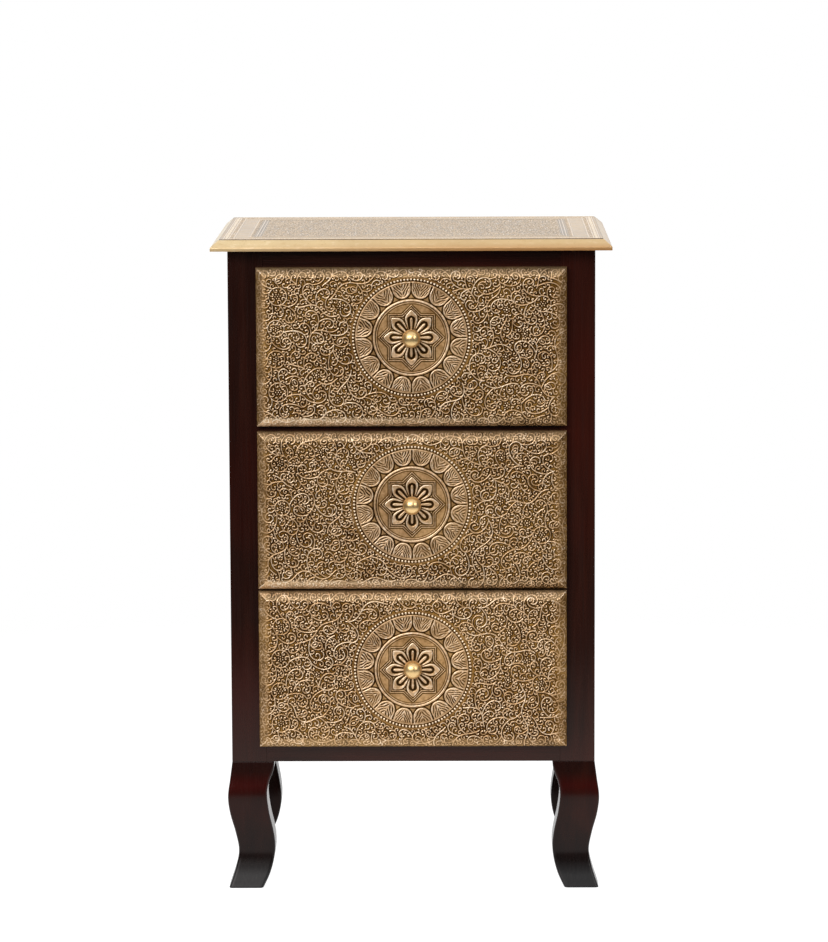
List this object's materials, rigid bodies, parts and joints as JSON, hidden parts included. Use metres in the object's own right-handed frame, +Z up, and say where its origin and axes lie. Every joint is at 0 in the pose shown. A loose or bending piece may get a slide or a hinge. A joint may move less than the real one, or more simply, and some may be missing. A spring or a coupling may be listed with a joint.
{
  "type": "chest of drawers",
  "caption": "Small bedside chest: embossed brass-clad drawers on wooden slides, ball knobs, a bevelled brass-clad top and a dark wooden case on S-curved legs.",
  "frame": {"origin": "floor level, under the middle of the whole chest's width and depth, knobs included", "axes": "+Z up, +X to the right as seen from the front, -Y towards the front, where the drawers open"},
  "size_m": [0.4, 0.323, 0.661],
  "materials": {
    "lacquered_wood": "dark mahogany stain under glossy lacquer",
    "raw_wood": "planed, unfinished",
    "plywood": "sanded, unfinished",
    "embossed_brass": "embossed sheet with a dark antique patina in its recesses",
    "top_embossed_brass": "embossed sheet, lightly patinated",
    "smooth_brass": "smooth satin gold",
    "knob_brass": "satin brass",
    "screw_steel": "zinc-plated"
  },
  "bodies": {
    "case": {"top_board": "lacquered_wood", "top_brass_sheet": "top_embossed_brass", "top_edge_front": "smooth_brass", "top_edge_rear": "smooth_brass", "top_edge_left": "smooth_brass", "top_edge_right": "smooth_brass", "top_screws": "screw_steel", "stile_left": "lacquered_wood", "stile_right": "lacquered_wood", "rail_top": "lacquered_wood", "rail_divider_upper": "lacquered_wood", "rail_divider_lower": "lacquered_wood", "rail_bottom": "lacquered_wood", "side_panel_left": "lacquered_wood", "side_panel_right": "lacquered_wood", "back_panel": "lacquered_wood", "back_panel_nails": "screw_steel", "bottom_board": "lacquered_wood", "rear_stretcher": "raw_wood", "kicker_left": "raw_wood", "kicker_right": "raw_wood", "runner_upper_left": "raw_wood", "runner_upper_right": "raw_wood", "runner_middle_left": "raw_wood", "runner_middle_right": "raw_wood", "runner_lower_left": "raw_wood", "runner_lower_right": "raw_wood", "runner_screws": "screw_steel", "leg_front_left": "lacquered_wood", "leg_front_right": "lacquered_wood", "leg_rear_left": "lacquered_wood", "leg_rear_right": "lacquered_wood", "leg_screws": "screw_steel"},
    "drawer_upper": {"drawer_upper_front": "lacquered_wood", "drawer_upper_brass": "embossed_brass", "drawer_upper_side_left": "raw_wood", "drawer_upper_side_right": "raw_wood", "drawer_upper_back": "raw_wood", "drawer_upper_bottom": "plywood", "drawer_upper_knob": "knob_brass", "drawer_upper_knob_screw": "screw_steel"},
    "drawer_middle": {"drawer_middle_front": "lacquered_wood", "drawer_middle_brass": "embossed_brass", "drawer_middle_side_left": "raw_wood", "drawer_middle_side_right": "raw_wood", "drawer_middle_back": "raw_wood", "drawer_middle_bottom": "plywood", "drawer_middle_knob": "knob_brass", "drawer_middle_knob_screw": "screw_steel"},
    "drawer_lower": {"drawer_lower_front": "lacquered_wood", "drawer_lower_brass": "embossed_brass", "drawer_lower_side_left": "raw_wood", "drawer_lower_side_right": "raw_wood", "drawer_lower_back": "raw_wood", "drawer_lower_bottom": "plywood", "drawer_lower_knob": "knob_brass", "drawer_lower_knob_screw": "screw_steel"}
  },
  "joints": [
    {"name": "drawer_upper_slide", "type": "slide", "parent": "case", "child": "drawer_upper", "axis": [0, -1, 0], "range_m": [0, 0.19]},
    {"name": "drawer_middle_slide", "type": "slide", "parent": "case", "child": "drawer_middle", "axis": [0, -1, 0], "range_m": [0, 0.19]},
    {"name": "drawer_lower_slide", "type": "slide", "parent": "case", "child": "drawer_lower", "axis": [0, -1, 0], "range_m": [0, 0.19]}
  ]
}
